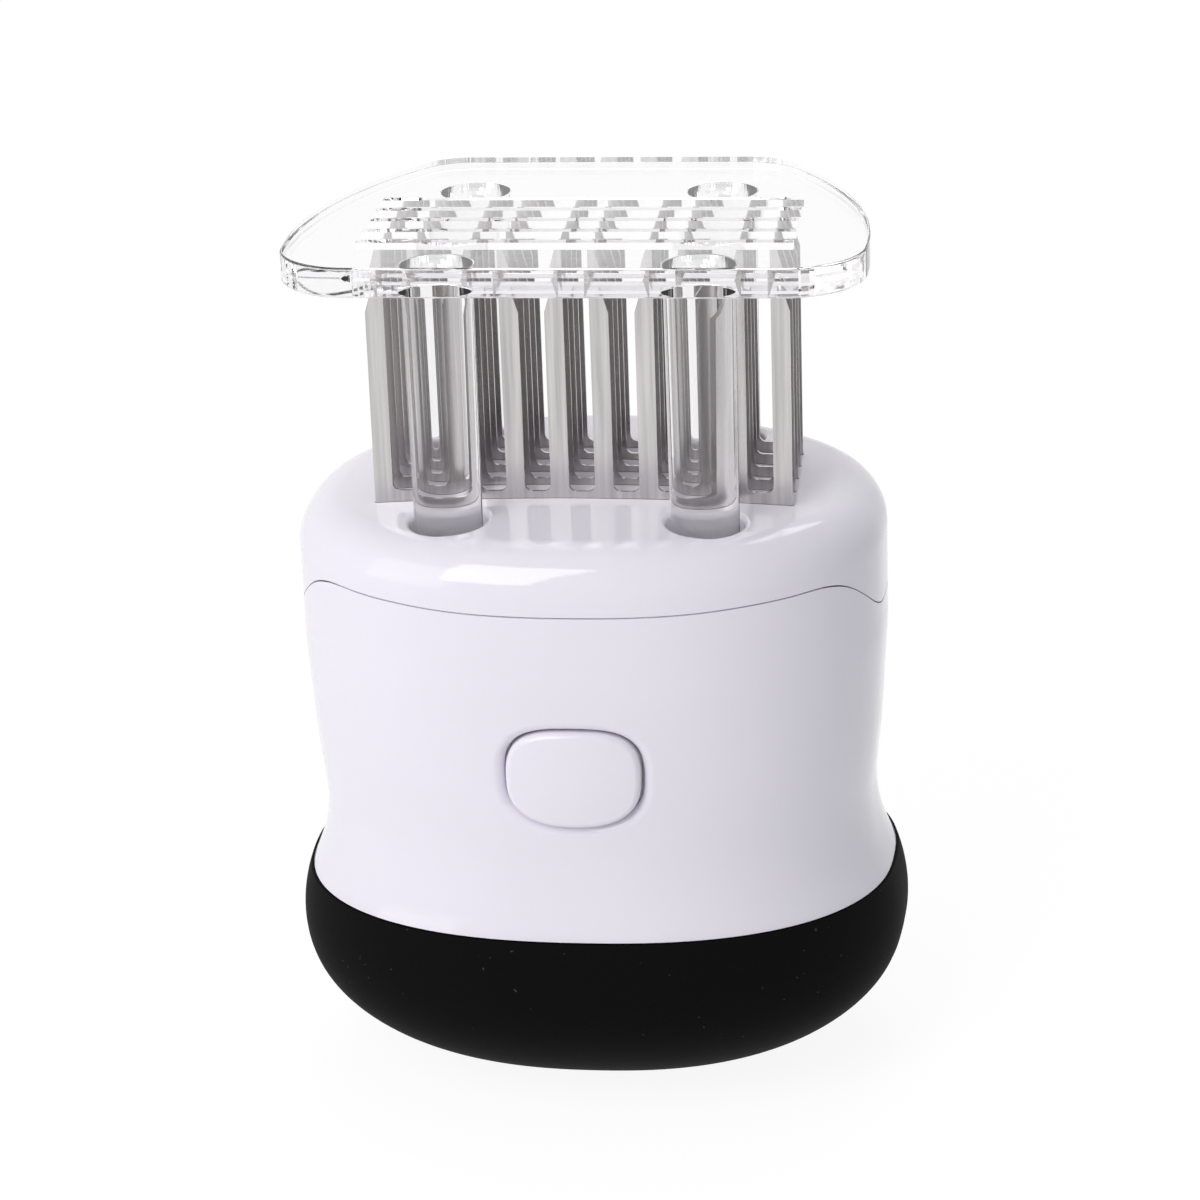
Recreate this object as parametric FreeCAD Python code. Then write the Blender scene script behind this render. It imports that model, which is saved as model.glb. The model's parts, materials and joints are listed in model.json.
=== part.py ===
"""Hand-held blade meat tenderizer, standing on its palm grip with the blades up.

The tool is four bodies. The handle is a waisted, hollow shell closed below by a
soft palm grip on a stiff core. The blade cartridge is a domed cap with five
blade strips and four spring tubes; it drops into the handle and a steel latch
holds it. The guard is a clear plate on four posts that slides down over the
blades against four springs. The release button frees the cartridge.

Millimetres. Origin: middle of the flat foot, on the surface the tool stands on.
+Z points up to the guard plate, -Y is the front with the button, +X is right.
"""

import FreeCAD, Part
import math
import os

from FreeCAD import Vector

# ---------------------------------------------------------------- body outline
PLAN_POWER = 2.35  # superellipse power of every horizontal section
STRIP_END_TO_CAP_SIDE = 14.9
POST_TO_CAP_FRONT = 16.9  # front posts' axes to the cap's front
WAIST_INSET_X = 2.1  # waist, inside the cap's outline
WAIST_INSET_Y = 1.8
HEM_FLARE_X = 1.1  # shell's hem, outside the cap's outline
HEM_FLARE_Y = 0.4
GRIP_SWELL_X = 2.1  # widest part of the grip, outside the hem
GRIP_SWELL_Y = 0.5

FOOT_TO_WIDEST = 27.5
WIDEST_TO_HEM = 8.7
HEM_TO_WAIST = 14.2
SHOULDER_TO_CAP_SEAM = 11.5
CAP_HEIGHT = 11.8  # cap seam at the front to the crown
HEM_CURVE = 2.2  # how quickly the hem sweeps in to the waist
SHOULDER_CURVE = 1.5

WALL = 2.2  # handle shell
DECK_RISE = 4.3  # hem to the underside of the deck inside the handle
DECK_THICKNESS = 2.5
SEAM_GAP = 0.25  # between neighbouring shells of different bodies

# ---------------------------------------------------------------- palm grip
GRIP_POWER = 2.2  # fullness of the rounded underside
GRIP_DOME_DEPTH = 27.9  # widest section to the virtual bottom of the dome
GRIP_WALL = 3.0
GRIP_RIM_PROUD = 0.5
CORE_WALL = 2.4
FLANGE_THICKNESS = 2.0  # of the core, under the shell's hem
FLANGE_FROM_RIM = 1.2
CORE_RIB_RISE = 3.0  # locating rib inside the shell
CORE_RIB_THICKNESS = 1.6
SKIN_GAP = 0.05  # grip skin to core, moulded on
DOME_SECTIONS = 6

# ---------------------------------------------------------------- cap
CAP_WALL = 3.2
CAP_SKIN = 3.8  # at the crown; the dome thins it towards the shoulder
CROWN_RADIUS = 560.0
SHOULDER_RADIUS = 8.0
INNER_SHOULDER_RADIUS = 3.5
REGISTER_THICKNESS = 1.6
REGISTER_CLEARANCE = 0.45
REGISTER_DEPTH = 4.0
SEAM_BOW = 1.0  # rise of the seam from the front towards the sides
EAR_DROP = 9.4  # how far the seam dips at the sides
EAR_HALF_LENGTH = 27.0
EAR_FLAT_HALF_LENGTH = 6.5

# ---------------------------------------------------------------- guard
PLATE_STOP_ROOM = 5.0  # crown to the plate's underside, pressed home
PLATE_THICKNESS = 5.0
PLATE_FRONT_LAND = 0.8  # front posts to the plate's front edge
PLATE_REAR = 41.2
PLATE_HALF_WIDTH = 48.0
PLATE_WIDEST_Y = -11.0
PLATE_SIDE_RADIUS = 82.0
PLATE_FRONT_CORNER = 13.0
PLATE_REAR_CORNER = 10.0
PLATE_EDGE_ROUND = 0.4
PLATE_SLOT_WIDTH = 1.8
PLATE_SLOT_END_ROOM = 0.8
GUARD_TRAVEL = 34.0

POST_SPACING_X = 42.5
POST_TOP_RADIUS = 5.9
POST_DRAFT = 0.25  # smaller radius at the post's end
POST_ROOT_ROUND = 0.3
BORE_CLEARANCE = 0.6
BORE_RIM_ROUND = 0.9
SLEEVE_LENGTH = 9.0
SLEEVE_TO_TUBE = 0.1
COLLAR_LIP = 0.4  # collar, outside the bore's radius
COLLAR_THICKNESS = 1.6
COLLAR_GAP = 0.1

# ---------------------------------------------------------------- spring tubes
TUBE_CLEARANCE = 0.3  # round the collar
TUBE_WALL = 0.9
TUBE_TO_STRIP = 0.8
TUBE_NOTCH_CLEARANCE = 0.15
TUBE_FLOOR = 2.0
TUBE_ABOVE_DECK = 2.8
TUBE_HEAD_ROOM = 1.2
SPRING_INSIDE_COLLAR = 0.5
SPRING_WIRE_RADIUS = 0.5
SPRING_TURNS = 7.5
SPRING_SECTIONS = 12  # per turn
SPRING_SOLID_LENGTH = 9.4
SPRING_SEAT_GAP = 0.1

# ---------------------------------------------------------------- blades
STRIP_COUNT = 5
STRIP_PITCH = 6.55
STRIP_WIDTH = 70.0
STRIP_THICKNESS = 0.6
STRIP_SHOWING = 1.0  # solid bar above the crown, below the teeth
TOOTH_COUNT = 10
TOOTH_WIDTH = 3.1
TOOTH_ROOT_ROUND = 1.2
TIP_BELOW_PLATE_TOP = 1.7
TIP_SLANT = 10.3
STRIP_SLOT_CLEARANCE = 0.15

CARRIER_HEIGHT = 8.4
CARRIER_HEAD_ROOM = 1.3
CARRIER_END_WALL = 2.5
CARRIER_SIDE_WALL = 2.6
ROD_RADIUS = 1.2
ROD_HOLE_CLEARANCE = 0.1
ROD_FROM_STRIP_END = 3.2
ROD_HEAD_RADIUS = 2.2
ROD_HEAD_THICKNESS = 1.0
ROD_END_SHOWING = 1.0  # beyond its clip
CLIP_RADIUS = 2.6
CLIP_THICKNESS = 0.6
CLIP_CLEARANCE = 0.02

# ---------------------------------------------------------------- spring housing
HOUSING_PLATE = 2.2
HOUSING_EDGE_CLEARANCE = 0.4
RIB_THICKNESS = 1.6
RIB_HEIGHT = 26.0
CATCH_HALF_WIDTH = 5.5
CATCH_THICKNESS = 2.0
CATCH_BEHIND_LEAF = 6.4
CATCH_LIP_REACH = 2.4
CATCH_LIP_HEIGHT = 2.4
CATCH_LIP_GAP = 0.3

# ---------------------------------------------------------------- button and latch
BUTTON_Z_ABOVE_HEM = 29.1
BUTTON_HALF_WIDTH = 11.2
BUTTON_HALF_HEIGHT = 8.5
BUTTON_TOP_POWER = 3.0
BUTTON_FOOT_POWER = 2.5
BUTTON_GAP = 0.35
BUTTON_PROUD = 1.4
BUTTON_CROWN_RADIUS = 60.0
BUTTON_EDGE_ROUND = 1.2
BUTTON_WALL = 1.6
BUTTON_FLANGE = 1.8
BUTTON_FLANGE_THICKNESS = 1.4
BUTTON_TRAVEL = 2.5
WINDOW_RIM_ROUND = 1.6
NOSE_HALF_WIDTH = 4.0
NOSE_HALF_HEIGHT = 3.0
NOSE_GAP = 0.1  # button's nose to the latch leaf

LEAF_THICKNESS = 0.8
LEAF_HALF_WIDTH = 9.5
LEAF_BEHIND_CAP_FRONT = 7.8
LEAF_RING_REACH = 13.0
LEAF_FOOT_REACH = 8.0
LEAF_WINDOW_SIDE_ROOM = 1.0
LEAF_WINDOW_FRONT_ROOM = 0.7  # left when the button is pressed home
LEAF_WINDOW_REAR_ROOM = 1.1
LEAF_ABOVE_BUTTON = 1.5
LEAF_BEND_RADIUS = 1.5

# ---------------------------------------------------------------- screws
SCREW_RADIUS = 1.5
SCREW_HEAD_RADIUS = 2.8
SCREW_HEAD_HEIGHT = 2.0
SCREW_HOLE_CLEARANCE = 0.15
SCREW_LENGTH = 9.0
SCREW_TIP_ROOM = 1.0  # hole beyond the screw's tip
THREAD_CLEARANCE = 0.05
BOSS_RADIUS = 3.2
CAP_BOSS_GAP = 0.7  # carrier end to boss
CAP_BOSS_Y = 7.5
BASE_SCREW_FROM_CAP_SIDE = 12.9
BASE_SCREW_Y = 12.0
LATCH_SCREW_X = 5.5
LATCH_SCREW_MARGIN = 0.5  # screw head to the leaf's rear edge

# ---------------------------------------------------------------- derived radii
BORE_RADIUS = POST_TOP_RADIUS + BORE_CLEARANCE
COLLAR_RADIUS = BORE_RADIUS + COLLAR_LIP
TUBE_INNER_RADIUS = COLLAR_RADIUS + TUBE_CLEARANCE
TUBE_RADIUS = TUBE_INNER_RADIUS + TUBE_WALL
SPRING_COIL_RADIUS = COLLAR_RADIUS - SPRING_INSIDE_COLLAR - SPRING_WIRE_RADIUS

# ---------------------------------------------------------------- derived heights
HEM_Z = FOOT_TO_WIDEST + WIDEST_TO_HEM
RIM_Z = HEM_Z - SEAM_GAP
WAIST_Z = HEM_Z + HEM_TO_WAIST
DECK_Z = HEM_Z + DECK_RISE
DECK_TOP_Z = DECK_Z + DECK_THICKNESS
TUBE_FLOOR_Z = DECK_TOP_Z + TUBE_ABOVE_DECK + TUBE_FLOOR
COLLAR_Z = TUBE_FLOOR_Z + SPRING_SOLID_LENGTH + GUARD_TRAVEL
POST_END_Z = COLLAR_Z + COLLAR_THICKNESS
SLEEVE_END_Z = POST_END_Z + COLLAR_GAP
SKIN_UNDERSIDE_Z = SLEEVE_END_Z + SLEEVE_LENGTH
CROWN_Z = SKIN_UNDERSIDE_Z + CAP_SKIN
CAP_SEAM_Z = CROWN_Z - CAP_HEIGHT
SHOULDER_Z = CAP_SEAM_Z - SHOULDER_TO_CAP_SEAM
CARRIER_TOP_Z = SKIN_UNDERSIDE_Z - CARRIER_HEAD_ROOM
CARRIER_Z = CARRIER_TOP_Z - CARRIER_HEIGHT
ROD_Z = CARRIER_Z + CARRIER_HEIGHT / 2
TOOTH_ROOT_Z = CROWN_Z + STRIP_SHOWING
PLATE_Z = CROWN_Z + GUARD_TRAVEL + PLATE_STOP_ROOM
PLATE_TOP_Z = PLATE_Z + PLATE_THICKNESS
TIP_Z = PLATE_TOP_Z - TIP_BELOW_PLATE_TOP
BUTTON_Z = HEM_Z + BUTTON_Z_ABOVE_HEM
LEAF_RING_Z = BUTTON_Z + LEAF_ABOVE_BUTTON

# ---------------------------------------------------------------- derived places in plan
OUTER_STRIP_Y = STRIP_PITCH * (STRIP_COUNT - 1) / 2
POST_X = POST_SPACING_X / 2
POST_Y = OUTER_STRIP_Y + STRIP_THICKNESS / 2 + TUBE_TO_STRIP + TUBE_RADIUS
CAP_HALF_WIDTH = STRIP_WIDTH / 2 + STRIP_END_TO_CAP_SIDE
CAP_HALF_DEPTH = POST_Y + POST_TO_CAP_FRONT
WAIST_HALF_WIDTH = CAP_HALF_WIDTH - WAIST_INSET_X
WAIST_HALF_DEPTH = CAP_HALF_DEPTH - WAIST_INSET_Y
HEM_HALF_WIDTH = CAP_HALF_WIDTH + HEM_FLARE_X
HEM_HALF_DEPTH = CAP_HALF_DEPTH + HEM_FLARE_Y
GRIP_HALF_WIDTH = HEM_HALF_WIDTH + GRIP_SWELL_X
GRIP_HALF_DEPTH = HEM_HALF_DEPTH + GRIP_SWELL_Y
PLATE_FRONT = POST_Y + POST_TOP_RADIUS + PLATE_FRONT_LAND
CARRIER_HALF_DEPTH = OUTER_STRIP_Y + STRIP_THICKNESS / 2 + CARRIER_SIDE_WALL
ROD_X = STRIP_WIDTH / 2 - ROD_FROM_STRIP_END
LEAF_FRONT = CAP_HALF_DEPTH - LEAF_BEHIND_CAP_FRONT
LEAF_REAR = LEAF_FRONT - LEAF_RING_REACH
CATCH_FRONT = LEAF_FRONT - CATCH_BEHIND_LEAF
LATCH_SCREW_Y = LEAF_FOOT_REACH - LEAF_FRONT - SCREW_HEAD_RADIUS - LATCH_SCREW_MARGIN
CAP_BOSS_X = STRIP_WIDTH / 2 + CARRIER_END_WALL + CAP_BOSS_GAP + BOSS_RADIUS
BASE_SCREW_X = CAP_HALF_WIDTH - BASE_SCREW_FROM_CAP_SIDE
FAR = 200.0

CORNERS = {
    "front_left": (-1, -1),
    "front_right": (1, -1),
    "rear_left": (-1, 1),
    "rear_right": (1, 1),
}


# ---------------------------------------------------------------- helpers
def superellipse(half_x, half_y, z, power=PLAN_POWER, count=28):
    """Closed smooth wire at height z, fuller than an ellipse at its corners."""
    points = []
    for step in range(count):
        angle = 2 * math.pi * step / count
        c, s = math.cos(angle), math.sin(angle)
        x = half_x * math.copysign(abs(c) ** (2 / power), c)
        y = half_y * math.copysign(abs(s) ** (2 / power), s)
        points.append(Vector(x, y, z))
    curve = Part.BSplineCurve()
    curve.interpolate(points, PeriodicFlag=True)
    return Part.Wire([curve.toShape()])


def plan_prism(half_x, half_y, z_low, z_high):
    """Upright solid on the tool's plan outline."""
    face = Part.Face(superellipse(half_x, half_y, z_low))
    return face.extrude(Vector(0, 0, z_high - z_low))


def plan_loft(sections):
    """Smooth solid through (z, half_x, half_y) sections, lowest first."""
    wires = [superellipse(half_x, half_y, z) for z, half_x, half_y in sections]
    return Part.makeLoft(wires, True, False)


def cylinder(x, y, z_low, z_high, radius):
    return Part.makeCylinder(radius, z_high - z_low, Vector(x, y, z_low))


def box(x_low, x_high, y_low, y_high, z_low, z_high):
    size = (x_high - x_low, y_high - y_low, z_high - z_low)
    return Part.makeBox(*size, Vector(x_low, y_low, z_low))


def fuse_all(shapes):
    return shapes[0].multiFuse(shapes[1:]).removeSplitter()


def level_edges(shape, z, tolerance=0.05):
    """Edges that lie all at one height."""
    found = []
    for edge in shape.Edges:
        box_of_edge = edge.BoundBox
        if abs(box_of_edge.ZMin - z) < tolerance and abs(box_of_edge.ZMax - z) < tolerance:
            found.append(edge)
    return found


def post_places():
    """Name and (x, y) of each guide post."""
    places = {}
    for name, (side_x, side_y) in CORNERS.items():
        places[name] = (side_x * POST_X, side_y * POST_Y)
    return places


def four_places(x, y):
    return [(side_x * x, side_y * y) for side_x, side_y in CORNERS.values()]


def strip_places():
    """Y of each blade strip, front first."""
    return [index * STRIP_PITCH - OUTER_STRIP_Y for index in range(STRIP_COUNT)]


def screw(x, y, seat_z, up):
    """Pan-head screw whose head seats at seat_z and whose shank runs up or down."""
    way = 1 if up else -1
    outline = [
        (0, -way * SCREW_HEAD_HEIGHT),
        (SCREW_HEAD_RADIUS * 0.7, -way * SCREW_HEAD_HEIGHT),
        (SCREW_HEAD_RADIUS, -way * SCREW_HEAD_HEIGHT * 0.5),
        (SCREW_HEAD_RADIUS, 0),
        (SCREW_RADIUS, 0),
        (SCREW_RADIUS, way * (SCREW_LENGTH - SCREW_RADIUS)),
        (0, way * SCREW_LENGTH),
    ]
    points = [Vector(r, 0, z) for r, z in outline]
    face = Part.Face(Part.makePolygon(points + points[:1]))
    solid = face.revolve(Vector(0, 0, 0), Vector(0, 0, 1), 360)
    solid.translate(Vector(x, y, seat_z))
    return solid


# ---------------------------------------------------------------- handle shell
def ease_out(start, end, share, power):
    """From start to end, fast at first and level at the end."""
    return end + (start - end) * max(0.0, 1 - share) ** power


def shell_half_sizes(z):
    """Outer half width and half depth of the white shell at height z."""
    if z <= HEM_Z:
        return HEM_HALF_WIDTH, HEM_HALF_DEPTH
    if z <= WAIST_Z:
        share = (z - HEM_Z) / HEM_TO_WAIST
        return (
            ease_out(HEM_HALF_WIDTH, WAIST_HALF_WIDTH, share, HEM_CURVE),
            ease_out(HEM_HALF_DEPTH, WAIST_HALF_DEPTH, share, HEM_CURVE),
        )
    share = min(1.0, (z - WAIST_Z) / (SHOULDER_Z - WAIST_Z))
    return (
        ease_out(WAIST_HALF_WIDTH, CAP_HALF_WIDTH, share, SHOULDER_CURVE),
        ease_out(WAIST_HALF_DEPTH, CAP_HALF_DEPTH, share, SHOULDER_CURVE),
    )


def shell_body(inset, z_bottom):
    """Waisted body, inset from the outer face, straight above the shoulder."""
    heights = [HEM_Z + HEM_TO_WAIST * step / 4 for step in range(5)]
    heights += [WAIST_Z + (SHOULDER_Z - WAIST_Z) * step / 4 for step in range(1, 5)]
    if z_bottom < HEM_Z:
        heights.insert(0, z_bottom)
    sections = []
    for z in heights:
        half_x, half_y = shell_half_sizes(z)
        sections.append((z, half_x - inset, half_y - inset))
    top = plan_prism(CAP_HALF_WIDTH - inset, CAP_HALF_DEPTH - inset, SHOULDER_Z, CROWN_Z)
    return plan_loft(sections).fuse(top)


def seam_height(y):
    """Height of the cap seam: level at front and rear, dipping at the sides."""
    reach = min(1.0, abs(y) / CAP_HALF_DEPTH)
    z = CAP_SEAM_Z + SEAM_BOW * (1 - reach**8)
    into_ear = (EAR_HALF_LENGTH - abs(y)) / (EAR_HALF_LENGTH - EAR_FLAT_HALF_LENGTH)
    into_ear = min(1.0, max(0.0, into_ear))
    return z - EAR_DROP * (1 - math.cos(math.pi * into_ear)) / 2


def seam_region(shift, above):
    """Everything above, or below, the seam moved by shift."""
    reach = CAP_HALF_DEPTH + 6
    count = 24
    points = []
    for step in range(count + 1):
        y = -reach + 2 * reach * step / count
        points.append(Vector(-FAR / 2, y, seam_height(y) + shift))
    curve = Part.BSplineCurve()
    curve.interpolate(points)
    far_z = FAR if above else -FAR
    end_high = Vector(-FAR / 2, reach, far_z)
    start_high = Vector(-FAR / 2, -reach, far_z)
    border = [
        curve.toShape(),
        Part.makeLine(points[-1], end_high),
        Part.makeLine(end_high, start_high),
        Part.makeLine(start_high, points[0]),
    ]
    return Part.Face(Part.Wire(border)).extrude(Vector(FAR, 0, 0))


def button_outline(grow, y):
    """Rounded outline of the button in an upright plane, squarer at the top."""
    half_x, half_z = BUTTON_HALF_WIDTH + grow, BUTTON_HALF_HEIGHT + grow
    points = []
    count = 24
    for step in range(count):
        angle = 2 * math.pi * step / count
        c, s = math.cos(angle), math.sin(angle)
        power = BUTTON_TOP_POWER if s >= 0 else BUTTON_FOOT_POWER
        x = half_x * math.copysign(abs(c) ** (2 / power), c)
        z = half_z * math.copysign(abs(s) ** (2 / power), s)
        points.append(Vector(x, y, BUTTON_Z + z))
    curve = Part.BSplineCurve()
    curve.interpolate(points, PeriodicFlag=True)
    return Part.Wire([curve.toShape()])


def button_prism(grow, y_front, y_rear):
    face = Part.Face(button_outline(grow, y_front))
    return face.extrude(Vector(0, y_rear - y_front, 0))


def shell_front_at(x, inset=0.0):
    """Distance from the middle to the shell's front wall at the button's height."""
    half_x, half_y = shell_half_sizes(BUTTON_Z)
    half_x, half_y = half_x - inset, half_y - inset
    return half_y * (1 - (x / half_x) ** PLAN_POWER) ** (1 / PLAN_POWER)


def handle_shell():
    outer = shell_body(0, HEM_Z)
    shell = outer.cut(shell_body(WALL, HEM_Z - 1))
    shell = shell.common(seam_region(-SEAM_GAP / 2, above=False))

    deck_x, deck_y = shell_half_sizes(DECK_TOP_Z)
    deck = plan_prism(deck_x - WALL / 2, deck_y - WALL / 2, DECK_Z, DECK_TOP_Z)
    hole = SCREW_RADIUS + SCREW_HOLE_CLEARANCE
    for x, y in four_places(BASE_SCREW_X, BASE_SCREW_Y):
        deck = deck.cut(cylinder(x, y, DECK_Z - 1, DECK_TOP_Z + 1, hole))
    for side in (-1, 1):
        x = side * LATCH_SCREW_X
        deck = deck.cut(cylinder(x, LATCH_SCREW_Y, DECK_Z - 1, DECK_TOP_Z + 1, hole))
        deck = deck.fuse(latch_boss(x))

    front = shell_front_at(0)
    window = button_prism(BUTTON_GAP, -front - 3, -front + 2 * WALL + 3)
    shell = fuse_all([shell, deck]).cut(window)
    return shell.makeFillet(min(WINDOW_RIM_ROUND, 0.8 * WALL), window_rim(shell))


def window_rim(shell):
    """Outer edges of the button's window."""
    reach_x = BUTTON_HALF_WIDTH + 2 * BUTTON_GAP
    reach_z = BUTTON_HALF_HEIGHT + 2 * BUTTON_GAP
    rim = []
    for edge in shell.Edges:
        middle = edge.valueAt((edge.FirstParameter + edge.LastParameter) / 2)
        half_x, half_y = shell_half_sizes(middle.z)
        out = (abs(middle.x) / half_x) ** PLAN_POWER + (abs(middle.y) / half_y) ** PLAN_POWER
        near = abs(middle.x) < reach_x and abs(middle.z - BUTTON_Z) < reach_z
        if near and middle.y < 0 and out > 1 - WALL / half_y:
            rim.append(edge)
    return rim


def latch_boss(x):
    """Hollow boss under the deck that a latch screw bites into."""
    bottom = DECK_TOP_Z + LEAF_THICKNESS - SCREW_LENGTH - SCREW_TIP_ROOM
    boss = cylinder(x, LATCH_SCREW_Y, bottom, DECK_Z + DECK_THICKNESS / 2, BOSS_RADIUS)
    bore = cylinder(x, LATCH_SCREW_Y, bottom - 1, DECK_TOP_Z, SCREW_RADIUS + THREAD_CLEARANCE)
    return boss.cut(bore)


# ---------------------------------------------------------------- grip
def grip_body(inset, rim_z, top_z):
    """Rounded palm body, inset all round, its flat foot at z = inset."""
    half_x, half_y = GRIP_HALF_WIDTH - inset, GRIP_HALF_DEPTH - inset
    depth = GRIP_DOME_DEPTH - inset
    fullness = 2 / GRIP_POWER
    end = math.asin(((FOOT_TO_WIDEST - inset) / depth) ** (1 / fullness))
    sections = []
    for step in range(DOME_SECTIONS, -1, -1):
        angle = end * step / DOME_SECTIONS
        z = FOOT_TO_WIDEST - depth * math.sin(angle) ** fullness
        across = math.cos(angle) ** fullness
        sections.append((z, half_x * across, half_y * across))
    rim_x = HEM_HALF_WIDTH + GRIP_RIM_PROUD - inset
    rim_y = HEM_HALF_DEPTH + GRIP_RIM_PROUD - inset
    middle_z = (FOOT_TO_WIDEST + rim_z) / 2
    sections.append((middle_z, half_x - (half_x - rim_x) / 4, half_y - (half_y - rim_y) / 4))
    sections.append((rim_z, rim_x, rim_y))
    body = plan_loft(sections)
    if top_z > rim_z:
        body = body.fuse(plan_prism(rim_x, rim_y, rim_z, top_z))
    return body


def flange_prism(grow, z_low):
    half_x = HEM_HALF_WIDTH + GRIP_RIM_PROUD - FLANGE_FROM_RIM + grow
    half_y = HEM_HALF_DEPTH + GRIP_RIM_PROUD - FLANGE_FROM_RIM + grow
    return plan_prism(half_x, half_y, z_low, RIM_Z + grow)


def palm_grip():
    skin = grip_body(0, RIM_Z, RIM_Z).cut(grip_body(GRIP_WALL, RIM_Z, RIM_Z + 1))
    return skin.cut(flange_prism(SKIN_GAP, RIM_Z - FLANGE_THICKNESS - SKIN_GAP))


def grip_core():
    inset = GRIP_WALL + SKIN_GAP
    hollow = grip_body(inset + CORE_WALL, RIM_Z, DECK_Z + 1)
    core = grip_body(inset, RIM_Z, RIM_Z).fuse(flange_prism(0, RIM_Z - FLANGE_THICKNESS))
    core = core.cut(hollow)

    rib_x, rib_y = shell_half_sizes(HEM_Z + CORE_RIB_RISE)
    rib_inset = WALL + SEAM_GAP
    rib = plan_prism(rib_x - rib_inset, rib_y - rib_inset, RIM_Z - 1, HEM_Z + CORE_RIB_RISE)
    inner = rib_inset + CORE_RIB_THICKNESS
    rib = rib.cut(plan_prism(rib_x - inner, rib_y - inner, RIM_Z - 2, HEM_Z + CORE_RIB_RISE + 1))

    filled = grip_body(inset + CORE_WALL / 2, RIM_Z, DECK_Z)
    pieces = [core, rib]
    for x, y in four_places(BASE_SCREW_X, BASE_SCREW_Y):
        boss = cylinder(x, y, 0, DECK_Z, BOSS_RADIUS).common(filled)
        pieces.append(boss)
    core = fuse_all(pieces)
    for x, y in four_places(BASE_SCREW_X, BASE_SCREW_Y):
        bottom = DECK_TOP_Z - SCREW_LENGTH - SCREW_TIP_ROOM
        core = core.cut(cylinder(x, y, bottom, DECK_Z + 1, SCREW_RADIUS + THREAD_CLEARANCE))
    return core


def base_screws():
    places = four_places(BASE_SCREW_X, BASE_SCREW_Y)
    return Part.makeCompound([screw(x, y, DECK_TOP_Z, up=False) for x, y in places])


# ---------------------------------------------------------------- latch and button
def latch_leaf():
    """Bent steel leaf: screwed foot, riser behind the button, and a ring round the catch."""
    half, thick = LEAF_HALF_WIDTH, LEAF_THICKNESS
    ring_top = LEAF_RING_Z + thick
    foot_rear = -LEAF_FRONT + LEAF_FOOT_REACH
    profile = [
        (foot_rear, DECK_TOP_Z),
        (-LEAF_FRONT, DECK_TOP_Z),
        (-LEAF_FRONT, ring_top),
        (-LEAF_REAR, ring_top),
        (-LEAF_REAR, LEAF_RING_Z),
        (-LEAF_FRONT + thick, LEAF_RING_Z),
        (-LEAF_FRONT + thick, DECK_TOP_Z + thick),
        (foot_rear, DECK_TOP_Z + thick),
    ]
    points = [Vector(-half, y, z) for y, z in profile]
    leaf = Part.Face(Part.makePolygon(points + points[:1])).extrude(Vector(2 * half, 0, 0))

    for y, radius in ((-LEAF_FRONT, LEAF_BEND_RADIUS), (thick - LEAF_FRONT, LEAF_BEND_RADIUS - thick)):
        bends = [edge for edge in leaf.Edges
                 if edge.BoundBox.XLength > half and abs(edge.CenterOfMass.y - y) < 0.01]
        leaf = leaf.makeFillet(radius, bends)

    window_x = CATCH_HALF_WIDTH + LEAF_WINDOW_SIDE_ROOM
    window = box(
        -window_x, window_x,
        -CATCH_FRONT - BUTTON_TRAVEL - LEAF_WINDOW_FRONT_ROOM,
        -CATCH_FRONT + CATCH_THICKNESS + LEAF_WINDOW_REAR_ROOM,
        LEAF_RING_Z - 1, ring_top + 1)
    leaf = leaf.cut(window)
    for side in (-1, 1):
        hole = cylinder(side * LATCH_SCREW_X, LATCH_SCREW_Y, DECK_TOP_Z - 1, DECK_TOP_Z + 2,
                        SCREW_RADIUS + SCREW_HOLE_CLEARANCE)
        leaf = leaf.cut(hole)
    return leaf


def latch_screws():
    seat = DECK_TOP_Z + LEAF_THICKNESS
    places = [(side * LATCH_SCREW_X, LATCH_SCREW_Y) for side in (-1, 1)]
    return Part.makeCompound([screw(x, y, seat, up=False) for x, y in places])


def release_button():
    """Crowned, hollow push button with a retaining flange and a nose for the latch."""
    face_y = -shell_front_at(0) - BUTTON_PROUD
    flange_half_x = BUTTON_HALF_WIDTH + BUTTON_FLANGE
    flange_front = -shell_front_at(flange_half_x, WALL) + SEAM_GAP
    flange_rear = flange_front + BUTTON_FLANGE_THICKNESS
    crown = Part.makeSphere(BUTTON_CROWN_RADIUS, Vector(0, face_y + BUTTON_CROWN_RADIUS, BUTTON_Z))
    body = button_prism(0, face_y - 5, flange_front + BUTTON_FLANGE_THICKNESS / 2).common(crown)
    rim = [edge for edge in body.Edges if edge.BoundBox.YMax < flange_front - 1]
    body = body.makeFillet(BUTTON_EDGE_ROUND, rim)
    flange = button_prism(BUTTON_FLANGE, flange_front, flange_rear)
    pocket = button_prism(-BUTTON_WALL, face_y + 2 * BUTTON_WALL, flange_rear + 1)
    nose_rear = -LEAF_FRONT - NOSE_GAP
    nose = box(-NOSE_HALF_WIDTH, NOSE_HALF_WIDTH, face_y + BUTTON_WALL, nose_rear,
               BUTTON_Z - NOSE_HALF_HEIGHT, BUTTON_Z + NOSE_HALF_HEIGHT)
    nose = nose.common(body.fuse(button_prism(-1, flange_front, nose_rear)))
    return fuse_all([body.fuse(flange).cut(pocket), nose])


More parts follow.
